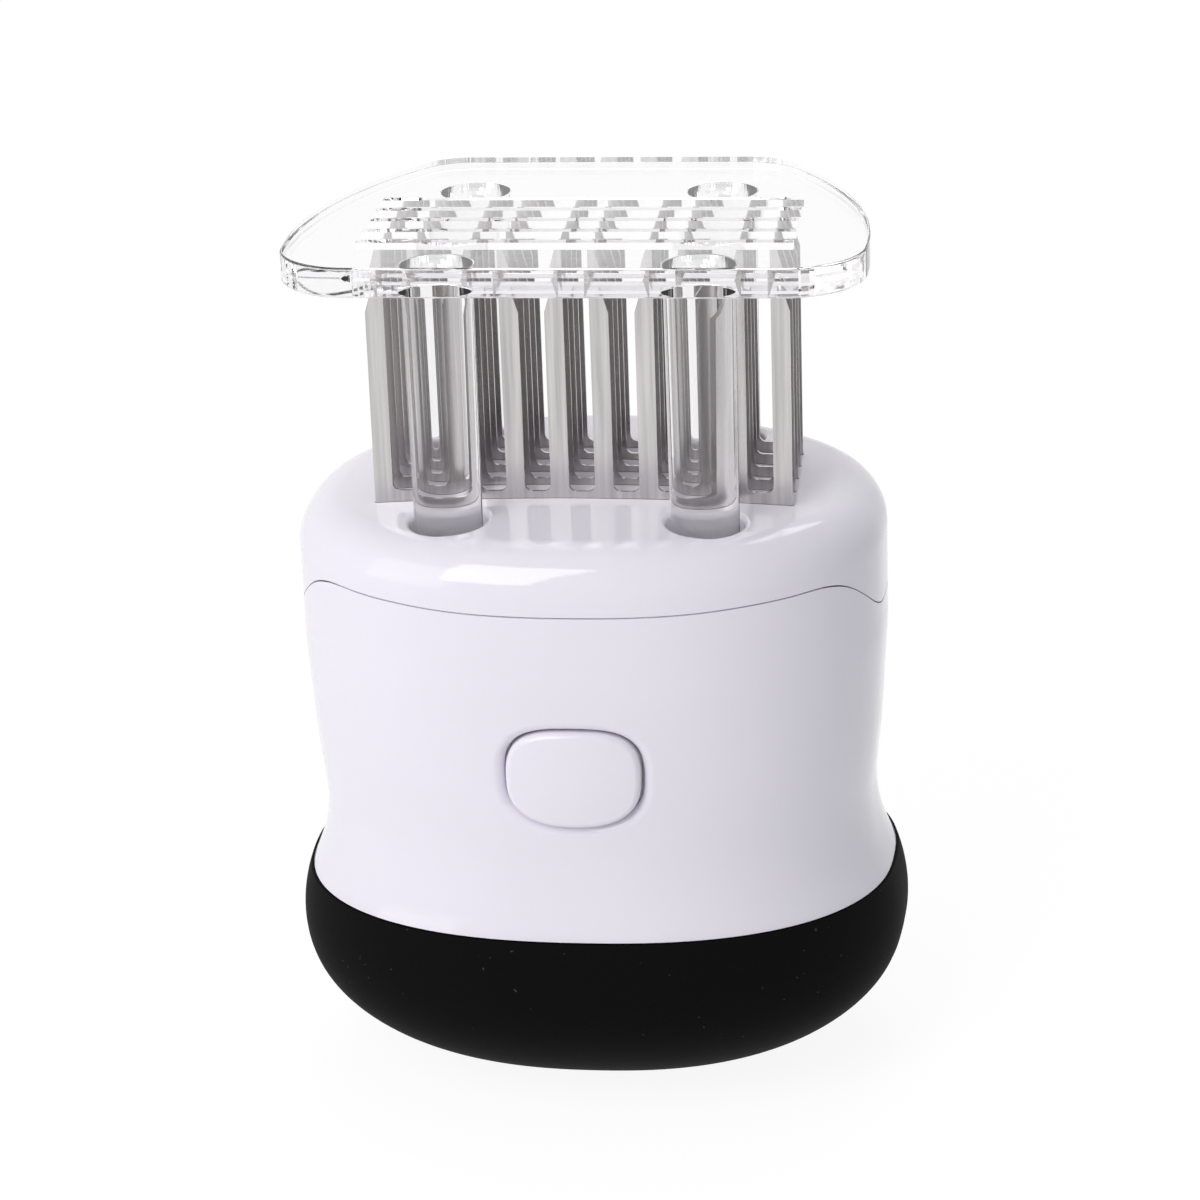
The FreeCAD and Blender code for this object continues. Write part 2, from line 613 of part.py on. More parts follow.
# ---------------------------------------------------------------- cartridge
def cartridge_cap():
    outer = plan_prism(CAP_HALF_WIDTH, CAP_HALF_DEPTH, CAP_SEAM_Z - 2 * EAR_DROP, CROWN_Z + 5)
    dome = Part.makeSphere(CROWN_RADIUS, Vector(0, 0, CROWN_Z - CROWN_RADIUS))
    outer = outer.common(dome)
    edge_z = CROWN_Z - CAP_HALF_WIDTH**2 / CROWN_RADIUS
    top = [edge for edge in outer.Edges if edge.BoundBox.ZMin > edge_z]
    outer = outer.makeFillet(SHOULDER_RADIUS, top)

    inner = plan_prism(CAP_HALF_WIDTH - CAP_WALL, CAP_HALF_DEPTH - CAP_WALL,
                       CAP_SEAM_Z - 3 * EAR_DROP, SKIN_UNDERSIDE_Z)
    inner = inner.makeFillet(INNER_SHOULDER_RADIUS, level_edges(inner, SKIN_UNDERSIDE_Z))
    cap = outer.cut(inner).common(seam_region(SEAM_GAP / 2, above=True))

    ring_inset = WALL + REGISTER_CLEARANCE
    ring_bottom = CAP_SEAM_Z - 2 * EAR_DROP
    ring_top = CAP_SEAM_Z + SEAM_BOW + 1
    ring = plan_prism(CAP_HALF_WIDTH - ring_inset, CAP_HALF_DEPTH - ring_inset, ring_bottom, ring_top)
    inner_inset = ring_inset + REGISTER_THICKNESS
    ring = ring.cut(plan_prism(CAP_HALF_WIDTH - inner_inset, CAP_HALF_DEPTH - inner_inset,
                               ring_bottom - 1, ring_top + 1))
    ring = ring.common(seam_region(-REGISTER_DEPTH, above=True))

    pieces = [cap, ring]
    for x, y in four_places(CAP_BOSS_X, CAP_BOSS_Y):
        pieces.append(cylinder(x, y, CARRIER_Z, SKIN_UNDERSIDE_Z + 0.5, BOSS_RADIUS))
    for x, y in post_places().values():
        sleeve_radius = TUBE_INNER_RADIUS - SLEEVE_TO_TUBE
        pieces.append(cylinder(x, y, SLEEVE_END_Z, SKIN_UNDERSIDE_Z + 0.5, sleeve_radius))
    cap = fuse_all(pieces)

    for x, y in four_places(CAP_BOSS_X, CAP_BOSS_Y):
        top_z = CARRIER_Z - HOUSING_PLATE + SCREW_LENGTH + SCREW_TIP_ROOM
        cap = cap.cut(cylinder(x, y, CARRIER_Z - 1, top_z, SCREW_RADIUS + THREAD_CLEARANCE))
    for x, y in post_places().values():
        cap = cap.cut(cylinder(x, y, SLEEVE_END_Z - 1, CROWN_Z + 1, BORE_RADIUS))
    for y in strip_places():
        half_y = STRIP_THICKNESS / 2 + STRIP_SLOT_CLEARANCE
        half_x = STRIP_WIDTH / 2 + STRIP_SLOT_CLEARANCE
        cap = cap.cut(box(-half_x, half_x, y - half_y, y + half_y, SKIN_UNDERSIDE_Z - 1, CROWN_Z + 1))
    return cap.makeFillet(BORE_RIM_ROUND, bore_mouths(cap))


def bore_mouths(cap):
    """The rims where the post bores break out through the domed top."""
    rims = []
    for edge in cap.Edges:
        middle = edge.valueAt((edge.FirstParameter + edge.LastParameter) / 2)
        if middle.z < SKIN_UNDERSIDE_Z + CAP_SKIN / 2 or edge.BoundBox.ZLength > CAP_SKIN / 2:
            continue
        for x, y in post_places().values():
            if abs(math.hypot(middle.x - x, middle.y - y) - BORE_RADIUS) < 0.01:
                rims.append(edge)
    return rims


def blade_strip(y):
    """One stamped strip: a bar with ten teeth, each pair with its slants facing out."""
    half = STRIP_WIDTH / 2
    gap = (STRIP_WIDTH - TOOTH_COUNT * TOOTH_WIDTH) / (TOOTH_COUNT - 1)
    outline = [(-half, CARRIER_Z)]
    for tooth in range(TOOTH_COUNT):
        left = -half + tooth * (TOOTH_WIDTH + gap)
        right = left + TOOTH_WIDTH
        point_right = tooth % 2 == 0
        left_z = TIP_Z - TIP_SLANT if point_right else TIP_Z
        right_z = TIP_Z if point_right else TIP_Z - TIP_SLANT
        if tooth > 0:
            outline.append((left, TOOTH_ROOT_Z))
        outline.append((left, left_z))
        outline.append((right, right_z))
        if tooth < TOOTH_COUNT - 1:
            outline.append((right, TOOTH_ROOT_Z))
    outline.append((half, CARRIER_Z))
    points = [Vector(x, y - STRIP_THICKNESS / 2, z) for x, z in outline]
    face = Part.Face(Part.makePolygon(points + points[:1]))
    strip = face.extrude(Vector(0, STRIP_THICKNESS, 0))
    roots = [edge for edge in strip.Edges
             if edge.BoundBox.YLength > STRIP_THICKNESS / 2
             and abs(edge.BoundBox.ZMin - TOOTH_ROOT_Z) < 0.01
             and edge.BoundBox.ZLength < 0.01 and edge.BoundBox.XLength < 0.01]
    strip = strip.makeFillet(TOOTH_ROOT_ROUND, roots)
    return strip.cut(rod_holes(y - STRIP_THICKNESS, y + STRIP_THICKNESS))


def rod_holes(y_low, y_high):
    """Holes for both rods through whatever stands between two depths."""
    radius = ROD_RADIUS + ROD_HOLE_CLEARANCE
    holes = []
    for side in (-1, 1):
        start = Vector(side * ROD_X, y_low, ROD_Z)
        holes.append(Part.makeCylinder(radius, y_high - y_low, start, Vector(0, 1, 0)))
    return Part.makeCompound(holes)


def blade_carrier():
    """Slotted block that spaces the strips, notched for the spring tubes."""
    half_x = STRIP_WIDTH / 2 + CARRIER_END_WALL
    half_y = CARRIER_HALF_DEPTH
    block = box(-half_x, half_x, -half_y, half_y, CARRIER_Z, CARRIER_TOP_Z)
    for y in strip_places():
        half_slot = STRIP_THICKNESS / 2 + STRIP_SLOT_CLEARANCE
        slot_x = STRIP_WIDTH / 2 + STRIP_SLOT_CLEARANCE
        slot = box(-slot_x, slot_x, y - half_slot, y + half_slot, CARRIER_Z - 1, CARRIER_TOP_Z + 1)
        block = block.cut(slot)
    for x, y in post_places().values():
        notch = cylinder(x, y, CARRIER_Z - 1, CARRIER_TOP_Z + 1, TUBE_RADIUS + TUBE_NOTCH_CLEARANCE)
        block = block.cut(notch)
    return block.cut(rod_holes(-half_y - 1, half_y + 1))


def tie_rods():
    """Two headed rods that pin the strips in the carrier."""
    half_y = CARRIER_HALF_DEPTH
    rods = []
    for side in (-1, 1):
        head_start = Vector(side * ROD_X, -half_y - ROD_HEAD_THICKNESS, ROD_Z)
        head = Part.makeCylinder(ROD_HEAD_RADIUS, ROD_HEAD_THICKNESS, head_start, Vector(0, 1, 0))
        length = ROD_HEAD_THICKNESS / 2 + 2 * half_y + CLIP_THICKNESS + ROD_END_SHOWING
        shaft_start = Vector(side * ROD_X, -half_y - ROD_HEAD_THICKNESS / 2, ROD_Z)
        shaft = Part.makeCylinder(ROD_RADIUS, length, shaft_start, Vector(0, 1, 0))
        rods.append(head.fuse(shaft).removeSplitter())
    return Part.makeCompound(rods)


def rod_clips():
    """Push-on washers that close the rods behind the carrier."""
    clips = []
    for side in (-1, 1):
        start = Vector(side * ROD_X, CARRIER_HALF_DEPTH, ROD_Z)
        clip = Part.makeCylinder(CLIP_RADIUS, CLIP_THICKNESS, start, Vector(0, 1, 0))
        bore = Part.makeCylinder(ROD_RADIUS + CLIP_CLEARANCE, CLIP_THICKNESS, start, Vector(0, 1, 0))
        clips.append(clip.cut(bore))
    return Part.makeCompound(clips)


def spring_housing():
    """Plate under the cap with four spring tubes, side ribs and the latch catch."""
    inset = WALL + REGISTER_CLEARANCE + REGISTER_THICKNESS + HOUSING_EDGE_CLEARANCE
    plate_z = CARRIER_Z - HOUSING_PLATE
    pieces = [plan_prism(CAP_HALF_WIDTH - inset, CAP_HALF_DEPTH - inset, plate_z, CARRIER_Z)]
    tube_top = SKIN_UNDERSIDE_Z - TUBE_HEAD_ROOM
    for x, y in post_places().values():
        pieces.append(cylinder(x, y, TUBE_FLOOR_Z - TUBE_FLOOR, tube_top, TUBE_RADIUS))
    rib_y = POST_Y - TUBE_RADIUS + TUBE_WALL / 2
    for side in (-1, 1):
        x = side * POST_X
        pieces.append(box(x - RIB_THICKNESS / 2, x + RIB_THICKNESS / 2, -rib_y, rib_y,
                          plate_z - RIB_HEIGHT, plate_z + HOUSING_PLATE / 2))
    rib_x = POST_X - TUBE_RADIUS + TUBE_WALL / 2
    pieces.append(box(-rib_x, rib_x, POST_Y - RIB_THICKNESS / 2, POST_Y + RIB_THICKNESS / 2,
                      plate_z - RIB_HEIGHT, plate_z + HOUSING_PLATE / 2))
    lip_top = LEAF_RING_Z - CATCH_LIP_GAP
    leg_rear = -CATCH_FRONT + CATCH_THICKNESS
    pieces.append(box(-CATCH_HALF_WIDTH, CATCH_HALF_WIDTH, -CATCH_FRONT, leg_rear,
                      lip_top - CATCH_LIP_HEIGHT, plate_z + HOUSING_PLATE / 2))
    pieces.append(box(-CATCH_HALF_WIDTH, CATCH_HALF_WIDTH, leg_rear - 0.5, leg_rear + CATCH_LIP_REACH,
                      lip_top - CATCH_LIP_HEIGHT, lip_top))
    housing = fuse_all(pieces)
    for x, y in post_places().values():
        housing = housing.cut(cylinder(x, y, TUBE_FLOOR_Z, tube_top + 1, TUBE_INNER_RADIUS))
    hole = SCREW_RADIUS + SCREW_HOLE_CLEARANCE
    for x, y in four_places(CAP_BOSS_X, CAP_BOSS_Y):
        housing = housing.cut(cylinder(x, y, plate_z - 1, CARRIER_Z + 1, hole))
    return housing


def cap_screws():
    seat = CARRIER_Z - HOUSING_PLATE
    places = four_places(CAP_BOSS_X, CAP_BOSS_Y)
    return Part.makeCompound([screw(x, y, seat, up=True) for x, y in places])


def wire_section(x, y, z, angle, slope):
    """Six-sided section of the spring wire, square to the helix at this angle."""
    outward = Vector(math.cos(angle), math.sin(angle), 0)
    along = Vector(-math.sin(angle), math.cos(angle), slope)
    upward = outward.cross(along.normalize()) * -1
    centre = Vector(x, y, z) + outward * SPRING_COIL_RADIUS
    points = []
    for corner in range(6):
        turn = math.pi * corner / 3
        points.append(centre + (outward * math.cos(turn) + upward * math.sin(turn)) * SPRING_WIRE_RADIUS)
    return Part.makePolygon(points + points[:1])


def guard_spring(x, y):
    """Compression spring between the tube's floor and the collar of a post."""
    low = TUBE_FLOOR_Z + SPRING_SEAT_GAP + SPRING_WIRE_RADIUS
    high = COLLAR_Z - SPRING_SEAT_GAP - SPRING_WIRE_RADIUS
    sections_in_all = round(SPRING_TURNS * SPRING_SECTIONS)
    slope = (high - low) / (2 * math.pi * SPRING_TURNS * SPRING_COIL_RADIUS)
    wires = []
    for step in range(sections_in_all + 1):
        share = step / sections_in_all
        angle = 2 * math.pi * SPRING_TURNS * share
        wires.append(wire_section(x, y, low + (high - low) * share, angle, slope))
    return Part.makeLoft(wires, True, True)


# ---------------------------------------------------------------- guard
def guard_plate():
    """Clear plate, straight in front and narrowing to the rear, with five slots."""
    centre_x = PLATE_HALF_WIDTH - PLATE_SIDE_RADIUS

    def side_x(y):
        return centre_x + math.sqrt(PLATE_SIDE_RADIUS**2 - (y - PLATE_WIDEST_Y) ** 2)

    front_x, rear_x = side_x(-PLATE_FRONT), side_x(PLATE_REAR)
    front_right = Vector(front_x, -PLATE_FRONT, PLATE_Z)
    rear_right = Vector(rear_x, PLATE_REAR, PLATE_Z)
    rear_left = Vector(-rear_x, PLATE_REAR, PLATE_Z)
    front_left = Vector(-front_x, -PLATE_FRONT, PLATE_Z)
    right_side = Part.Arc(front_right, Vector(PLATE_HALF_WIDTH, PLATE_WIDEST_Y, PLATE_Z), rear_right)
    left_side = Part.Arc(rear_left, Vector(-PLATE_HALF_WIDTH, PLATE_WIDEST_Y, PLATE_Z), front_left)
    border = [
        Part.makeLine(front_left, front_right),
        right_side.toShape(),
        Part.makeLine(rear_right, rear_left),
        left_side.toShape(),
    ]
    plate = Part.Face(Part.Wire(border)).extrude(Vector(0, 0, PLATE_THICKNESS))
    for y, radius in ((-PLATE_FRONT, PLATE_FRONT_CORNER), (PLATE_REAR, PLATE_REAR_CORNER)):
        corners = [edge for edge in plate.Edges
                   if edge.BoundBox.ZLength > PLATE_THICKNESS / 2
                   and abs(edge.CenterOfMass.y - y) < 0.01]
        plate = plate.makeFillet(radius, corners)
    rims = level_edges(plate, PLATE_Z) + level_edges(plate, PLATE_TOP_Z)
    plate = plate.makeFillet(PLATE_EDGE_ROUND, rims)
    half_x = STRIP_WIDTH / 2 + PLATE_SLOT_END_ROOM
    half_y = PLATE_SLOT_WIDTH / 2
    for y in strip_places():
        plate = plate.cut(box(-half_x, half_x, y - half_y, y + half_y, PLATE_Z - 1, PLATE_TOP_Z + 1))
    return plate


def guide_post(x, y):
    """Slightly tapered post that flares into the plate, with a screw hole up its end."""
    flare_radius = POST_TOP_RADIUS + POST_ROOT_ROUND
    end = Vector(POST_TOP_RADIUS - POST_DRAFT, 0, POST_END_Z)
    neck = Vector(POST_TOP_RADIUS, 0, PLATE_Z - POST_ROOT_ROUND)
    turn = POST_ROOT_ROUND * (1 - math.sqrt(0.5))
    root = Vector(flare_radius, 0, PLATE_Z)
    flare = Part.Arc(neck, Vector(POST_TOP_RADIUS + turn, 0, PLATE_Z - turn), root)
    inside_z = PLATE_Z + PLATE_THICKNESS / 2
    border = [
        Part.makeLine(Vector(0, 0, POST_END_Z), end),
        Part.makeLine(end, neck),
        flare.toShape(),
        Part.makeLine(root, Vector(flare_radius, 0, inside_z)),
        Part.makeLine(Vector(flare_radius, 0, inside_z), Vector(0, 0, inside_z)),
        Part.makeLine(Vector(0, 0, inside_z), Vector(0, 0, POST_END_Z)),
    ]
    post = Part.Face(Part.Wire(border)).revolve(Vector(0, 0, 0), Vector(0, 0, 1), 360)
    bore_top = COLLAR_Z + SCREW_LENGTH + SCREW_TIP_ROOM
    post = post.cut(cylinder(0, 0, POST_END_Z - 1, bore_top, SCREW_RADIUS + THREAD_CLEARANCE))
    post.translate(Vector(x, y, 0))
    return post


def clear_guard():
    """Plate and four posts in one moulding."""
    posts = [guide_post(x, y) for x, y in post_places().values()]
    return fuse_all([guard_plate()] + posts)


def post_collars():
    """Collars screwed to the posts' ends, which stop the guard at the top."""
    collars = []
    for x, y in post_places().values():
        ring = cylinder(x, y, COLLAR_Z, POST_END_Z, COLLAR_RADIUS)
        bore = cylinder(x, y, COLLAR_Z - 1, POST_END_Z + 1, SCREW_RADIUS + THREAD_CLEARANCE)
        collars.append(ring.cut(bore))
    return Part.makeCompound(collars)


def post_screws():
    return Part.makeCompound([screw(x, y, COLLAR_Z, up=True) for x, y in post_places().values()])


# ---------------------------------------------------------------- all nodes
def all_nodes():
    nodes = {
        "handle_shell": handle_shell(),
        "palm_grip": palm_grip(),
        "grip_core": grip_core(),
        "base_screws": base_screws(),
        "latch_leaf": latch_leaf(),
        "latch_screws": latch_screws(),
        "release_button": release_button(),
        "cartridge_cap": cartridge_cap(),
        "spring_housing": spring_housing(),
        "blade_carrier": blade_carrier(),
        "tie_rods": tie_rods(),
        "rod_clips": rod_clips(),
        "cap_screws": cap_screws(),
        "clear_guard": clear_guard(),
        "post_collars": post_collars(),
        "post_screws": post_screws(),
    }
    for number, y in enumerate(strip_places(), start=1):
        nodes[f"blade_strip_{number}"] = blade_strip(y)
    for name, (x, y) in post_places().items():
        nodes[f"guard_spring_{name}"] = guard_spring(x, y)
    return nodes


def main():
    os.makedirs("parts", exist_ok=True)
    for name, shape in all_nodes().items():
        shape.exportStep(f"parts/{name}.step")
        volume = shape.Volume / 1000
        print(f"{name}: {len(shape.Solids)} solid(s), {volume:.2f} cm3, valid {shape.isValid()}")


main()
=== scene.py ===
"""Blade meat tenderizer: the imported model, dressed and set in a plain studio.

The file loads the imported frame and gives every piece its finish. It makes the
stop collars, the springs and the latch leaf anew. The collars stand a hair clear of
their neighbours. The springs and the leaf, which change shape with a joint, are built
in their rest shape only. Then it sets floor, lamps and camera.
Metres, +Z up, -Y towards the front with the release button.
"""

import json
import logging
import math
from dataclasses import dataclass
from dataclasses import field
from enum import Enum

import bmesh
import bpy
from mathutils import Euler
from mathutils import Matrix
from mathutils import Vector


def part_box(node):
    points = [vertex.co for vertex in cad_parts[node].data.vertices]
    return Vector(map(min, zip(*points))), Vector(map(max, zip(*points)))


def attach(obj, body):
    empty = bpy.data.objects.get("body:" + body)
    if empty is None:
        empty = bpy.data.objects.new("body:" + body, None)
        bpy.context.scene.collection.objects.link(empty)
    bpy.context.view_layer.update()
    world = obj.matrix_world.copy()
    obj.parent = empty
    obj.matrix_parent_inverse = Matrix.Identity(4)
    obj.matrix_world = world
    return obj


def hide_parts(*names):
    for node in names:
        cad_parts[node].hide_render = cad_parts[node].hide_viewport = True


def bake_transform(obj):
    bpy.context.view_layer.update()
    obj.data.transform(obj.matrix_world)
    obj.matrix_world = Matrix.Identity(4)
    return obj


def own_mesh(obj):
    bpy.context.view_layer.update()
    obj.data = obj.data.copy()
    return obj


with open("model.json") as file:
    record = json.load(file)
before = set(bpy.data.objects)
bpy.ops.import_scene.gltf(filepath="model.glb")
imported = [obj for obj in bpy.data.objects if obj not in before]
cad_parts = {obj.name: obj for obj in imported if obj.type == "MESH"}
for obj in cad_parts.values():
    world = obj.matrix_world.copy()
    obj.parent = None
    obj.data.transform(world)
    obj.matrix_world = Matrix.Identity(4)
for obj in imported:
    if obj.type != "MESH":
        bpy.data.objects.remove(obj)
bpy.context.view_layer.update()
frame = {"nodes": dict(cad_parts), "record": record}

LOG = logging.getLogger("tenderizer")
MM = 0.001
FULL_TURN = 2 * math.pi
UP = (0.0, 0.0, 1.0)

Triple = tuple[float, float, float]


class Body(Enum):
    """The four bodies that move against each other."""

    HANDLE = "handle"
    BUTTON = "release_button"
    CARTRIDGE = "blade_cartridge"
    GUARD = "guard"


def add_object(name: str, data: bpy.types.ID) -> bpy.types.Object:
    """Put a mesh, lamp or camera into the scene.

    Args:
        name: name of the new object.
        data: what the object holds.

    Returns:
        The new object, at the origin.
    """
    added = bpy.data.objects.new(name, data)
    bpy.context.scene.collection.objects.link(added)
    return added


# ---------------------------------------------------------------- shader nodes
@dataclass(frozen=True)
class Noise:
    """A noise pattern: finer layers, scale, and stretch along each axis."""

    detail: float
    size: float
    stretch: Triple = (1.0, 1.0, 1.0)


class Nodes:
    """Adds and links the shader nodes of one tree."""

    def __init__(self, tree: bpy.types.NodeTree) -> None:
        """Work on this tree.

        Args:
            tree: node tree of a material or world.
        """
        self.tree = tree

    def add(self, kind: str, **settings: object) -> bpy.types.Node:
        """Add a node.

        Args:
            kind: Blender's type name for the node.
            **settings: properties of the node, by name.

        Returns:
            The new node.
        """
        node = self.tree.nodes.new(kind)
        for name, value in settings.items():
            setattr(node, name, value)
        return node

    def link(self, source: bpy.types.NodeSocket, target: bpy.types.NodeSocket) -> None:
        """Join two sockets.

        Args:
            source: the output socket.
            target: the input socket.
        """
        self.tree.links.new(source, target)

    def larger(self, first: bpy.types.NodeSocket,
               second: bpy.types.NodeSocket) -> bpy.types.NodeSocket:
        """Take the larger of two values.

        Args:
            first: one value.
            second: the other value.

        Returns:
            The output with the larger value.
        """
        node = self.add("ShaderNodeMath", operation="MAXIMUM")
        self.link(first, node.inputs[0])
        self.link(second, node.inputs[1])
        return node.outputs["Value"]

    def in_view(self) -> bpy.types.NodeSocket:
        """Tell rays that show a surface from rays that only light one.

        Returns:
            An output of 1 for camera, clear-part and mirror rays, else 0.
        """
        path = self.add("ShaderNodeLightPath")
        through = self.larger(path.outputs["Is Camera Ray"], path.outputs["Is Transmission Ray"])
        return self.larger(through, path.outputs["Is Glossy Ray"])

    def mix(self, share: bpy.types.NodeSocket, low: bpy.types.NodeSocket,
            high: bpy.types.NodeSocket, target: bpy.types.NodeSocket) -> None:
        """Mix two shaders into a target.

        Args:
            share: how much of the second shader shows.
            low: the shader at a share of 0.
            high: the shader at a share of 1.
            target: input that takes the mix.
        """
        node = self.add("ShaderNodeMixShader")
        self.link(share, node.inputs["Fac"])
        self.link(low, node.inputs[1])
        self.link(high, node.inputs[2])
        self.link(node.outputs["Shader"], target)


class Finish(Nodes):
    """The nodes of one new material, round its own shader."""

    def __init__(self, name: str) -> None:
        """Start a material.

        Args:
            name: name of the material.
        """
        self.material = bpy.data.materials.new(name)
        self.material.use_nodes = True
        super().__init__(self.material.node_tree)
        self.shader = self.tree.nodes["Principled BSDF"]
        self.output = self.tree.nodes["Material Output"]

    def set(self, **values: object) -> None:
        """Set the shader's own sockets.

        Args:
            **values: value by socket name, with _ for each space.
        """
        for name, value in values.items():
            self.shader.inputs[name.replace("_", " ")].default_value = value

    def noise(self, pattern: Noise) -> bpy.types.NodeSocket:
        """Add noise on Object coordinates.

        Args:
            pattern: what the noise looks like.

        Returns:
            The output with the noise's value.
        """
        place = self.add("ShaderNodeTexCoord")
        mapping = self.add("ShaderNodeMapping")
        mapping.inputs["Scale"].default_value = pattern.stretch
        noise = self.add("ShaderNodeTexNoise")
        noise.inputs["Scale"].default_value = pattern.size
        noise.inputs["Detail"].default_value = pattern.detail
        self.link(place.outputs["Object"], mapping.inputs["Vector"])
        self.link(mapping.outputs["Vector"], noise.inputs["Vector"])
        return noise.outputs["Fac"]

    def tint(self, source: bpy.types.NodeSocket, places: tuple[float, float],
             low: Triple, high: Triple) -> None:
        """Colour the surface along a ramp.

        Args:
            source: the value that runs along the ramp.
            places: where the first colour ends and the second begins.
            low: the first colour.
            high: the second colour.
        """
        ramp = self.add("ShaderNodeValToRGB")
        for element, place, colour in zip(ramp.color_ramp.elements, places, (low, high)):
            element.position = place
            element.color = (*colour, 1.0)
        self.link(source, ramp.inputs["Fac"])
        self.link(ramp.outputs["Color"], self.shader.inputs["Base Color"])

    def bump(self, source: bpy.types.NodeSocket, depth: float, strength: float) -> None:
        """Roughen the surface with a height value.

        Args:
            source: the height value.
            depth: height of the relief, in metres.
            strength: share of the relief that shows.
        """
        bump = self.add("ShaderNodeBump")
        bump.inputs["Distance"].default_value = depth
        bump.inputs["Strength"].default_value = strength
        self.link(source, bump.inputs["Height"])
        self.link(bump.outputs["Normal"], self.shader.inputs["Normal"])


def darker(colour: Triple, share: float) -> Triple:
    """Darken a colour.

    Args:
        colour: the colour.
        share: how much of it is kept.

    Returns:
        The darker colour.
    """
    return tuple(value * share for value in colour)


# ---------------------------------------------------------------- finishes
@dataclass(frozen=True)
class MouldedPlastic:
    """Moulded plastic with a hint of tone and a barely wavy surface."""

    name: str
    colour: Triple
    roughness: float = 0.07
    refraction: float = 1.5
    tone: Noise = Noise(2.0, 35.0)
    tone_places: tuple[float, float] = (0.3, 0.7)
    tone_share: float = 0.985
    wave: Noise = Noise(1.0, 60.0, (1.0, 1.0, 0.6))
    wave_depth: float = 0.1 * MM
    waviness: float = 0.03

    def build(self) -> bpy.types.Material:
        """Make the material.

        Returns:
            The new material.
        """
        finish = Finish(self.name)
        finish.set(Roughness=self.roughness, IOR=self.refraction)
        finish.tint(finish.noise(self.tone), self.tone_places,
                    darker(self.colour, self.tone_share), self.colour)
        finish.bump(finish.noise(self.wave), self.wave_depth, self.waviness)
        return finish.material


@dataclass(frozen=True)
class SoftGrip:
    """Matt black elastomer with a fine texture and a few dust specks."""

    name: str
    colour: Triple
    roughness: float = 0.7
    refraction: float = 1.45
    shine: float = 0.06
    dust: Noise = Noise(0.0, 1500.0)
    dust_places: tuple[float, float] = (0.84, 0.87)
    dust_colour: Triple = (0.05, 0.045, 0.04)
    grain: Noise = Noise(3.0, 2200.0)
    grain_depth: float = 0.08 * MM
    graininess: float = 0.35

    def build(self) -> bpy.types.Material:
        """Make the material.

        Returns:
            The new material.
        """
        finish = Finish(self.name)
        finish.set(Roughness=self.roughness, IOR=self.refraction,
                   Specular_IOR_Level=self.shine)
        finish.tint(finish.noise(self.dust), self.dust_places, self.colour, self.dust_colour)
        finish.bump(finish.noise(self.grain), self.grain_depth, self.graininess)
        return finish.material


@dataclass(frozen=True)
class GroundSteel:
    """Steel with a fine grain, stretched along one axis."""

    name: str
    colour: Triple
    stretch: Triple
    roughness: float
    grain_detail: float = 4.0
    grain_size: float = 900.0
    grain_places: tuple[float, float] = (0.3, 0.65)
    grain_share: float = 0.72
    grain_depth: float = 0.03 * MM
    graininess: float = 0.3

    def build(self) -> bpy.types.Material:
        """Make the material.

        Returns:
            The new material.
        """
        finish = Finish(self.name)
        finish.set(Metallic=1.0, Roughness=self.roughness)
        streaks = finish.noise(Noise(self.grain_detail, self.grain_size, self.stretch))
        finish.tint(streaks, self.grain_places,
                    darker(self.colour, self.grain_share), self.colour)
        finish.bump(streaks, self.grain_depth, self.graininess)
        return finish.material


@dataclass(frozen=True)
class ClearPlastic:
    """Clear moulded acrylic with the faintest waviness."""

    name: str
    colour: Triple = (0.955, 0.95, 0.955)
    roughness: float = 0.01
    refraction: float = 1.49
    wave: Noise = Noise(1.0, 70.0)
    wave_depth: float = 0.1 * MM
    waviness: float = 0.05

    def build(self) -> bpy.types.Material:
        """Make the material.

        Returns:
            The new material.
        """
        finish = Finish(self.name)
        finish.set(Roughness=self.roughness, IOR=self.refraction, Transmission_Weight=1.0)
        finish.set(Base_Color=(*self.colour, 1.0))
        finish.bump(finish.noise(self.wave), self.wave_depth, self.waviness)
        return finish.material


FINISHES = {
    "white_gloss": MouldedPlastic("white_gloss", (0.865, 0.832, 0.915)),
    "black_grip": SoftGrip("black_grip", (0.0032, 0.0031, 0.0033)),
    "black_core": MouldedPlastic("black_core", (0.03, 0.03, 0.032), roughness=0.45),
    "grey_core": MouldedPlastic("grey_core", (0.5, 0.5, 0.51), roughness=0.4),
    "blade_steel": GroundSteel("blade_steel", (0.62, 0.6, 0.6), (1.0, 1.0, 0.03), 0.24),
    "spring_steel": GroundSteel("spring_steel", (0.6, 0.6, 0.61), (0.05, 0.05, 1.0), 0.25),
    "zinc_steel": GroundSteel("plated_steel", (0.62, 0.62, 0.63), (1.0, 1.0, 1.0), 0.3),
    "clear_guard": ClearPlastic("clear_guard"),
}


class Wardrobe:
    """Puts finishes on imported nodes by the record's material slots."""

    def __init__(self) -> None:
        """Build each finish once, keyed by the record's slot."""
        self.by_slot = {slot: finish.build() for slot, finish in FINISHES.items()}

    def dress(self) -> int:
        """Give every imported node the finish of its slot.

        Returns:
            How many nodes were dressed.
        """
        subparts = frame["record"]["subparts"]
        for subpart in subparts:
            node = frame["nodes"][subpart["node"]]
            node.data.materials.clear()
            node.data.materials.append(self.by_slot[subpart["material_slot"]])
        return len(subparts)


# ---------------------------------------------------------------- pieces
def whole(shape: bmesh.types.BMesh) -> list:
    """List everything in a mesh.

    Args:
        shape: the mesh.

    Returns:
        Its vertices, edges and faces.
    """
    return list(shape.verts) + list(shape.edges) + list(shape.faces)


